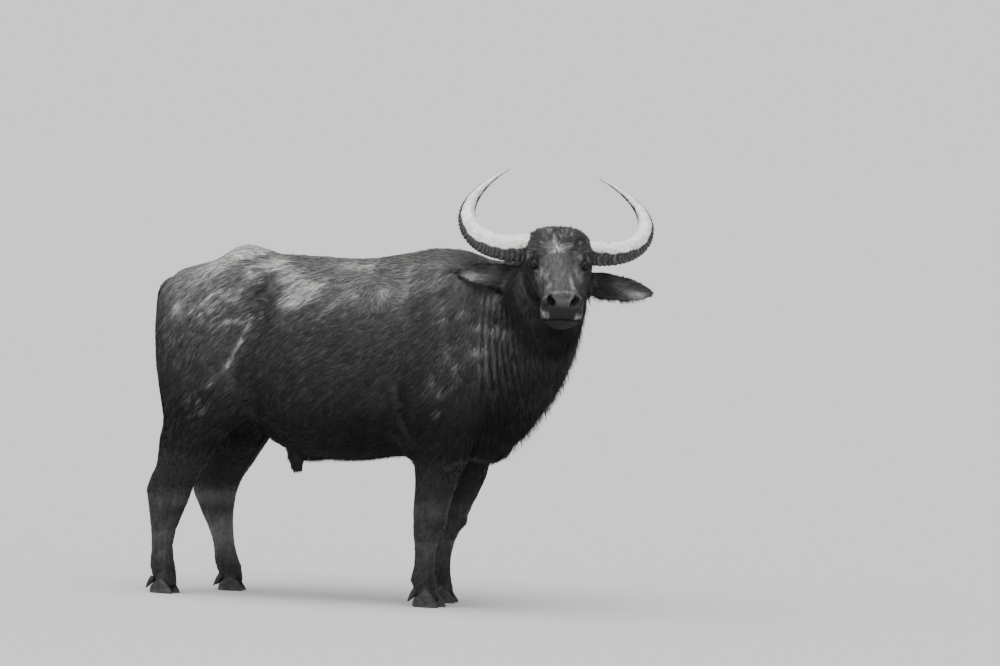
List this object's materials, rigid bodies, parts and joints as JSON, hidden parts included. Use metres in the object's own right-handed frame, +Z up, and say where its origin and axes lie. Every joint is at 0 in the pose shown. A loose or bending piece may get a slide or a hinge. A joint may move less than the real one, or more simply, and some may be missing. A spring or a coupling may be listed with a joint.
{
  "type": "water buffalo bull",
  "caption": "Wild water buffalo bull, life size, standing with its head turned to its right, with wide crescent horns.",
  "frame": {"origin": "on the floor under the middle of the whole animal's box", "axes": "+X the way the body faces, +Y to the animal's left, +Z up"},
  "size_m": [2.391, 0.8572, 2.0292],
  "materials": {
    "hide": "dull short-haired skin, black to slate grey, dusty in places",
    "horn": "pale dry keratin above, dark and ridged below",
    "hoof": "dark dusty keratin",
    "eye": "wet and dark"
  },
  "bodies": {
    "root": {"trunk": "hide", "neck": "hide", "head": "hide", "tail": "hide", "tail_tuft": "hide", "sheath": "hide", "ear_left": "hide", "ear_right": "hide", "leg_fore_left": "hide", "leg_fore_right": "hide", "leg_hind_left": "hide", "leg_hind_right": "hide", "horn_left": "horn", "eye_left": "eye", "horn_right": "horn", "eye_right": "eye", "hoof_fore_left_inner": "hoof", "dewclaw_fore_left_inner": "hoof", "hoof_fore_left_outer": "hoof", "dewclaw_fore_left_outer": "hoof", "hoof_fore_right_inner": "hoof", "dewclaw_fore_right_inner": "hoof", "hoof_fore_right_outer": "hoof", "dewclaw_fore_right_outer": "hoof", "hoof_hind_left_inner": "hoof", "dewclaw_hind_left_inner": "hoof", "hoof_hind_left_outer": "hoof", "dewclaw_hind_left_outer": "hoof", "hoof_hind_right_inner": "hoof", "dewclaw_hind_right_inner": "hoof", "hoof_hind_right_outer": "hoof", "dewclaw_hind_right_outer": "hoof"}
  },
  "joints": []
}
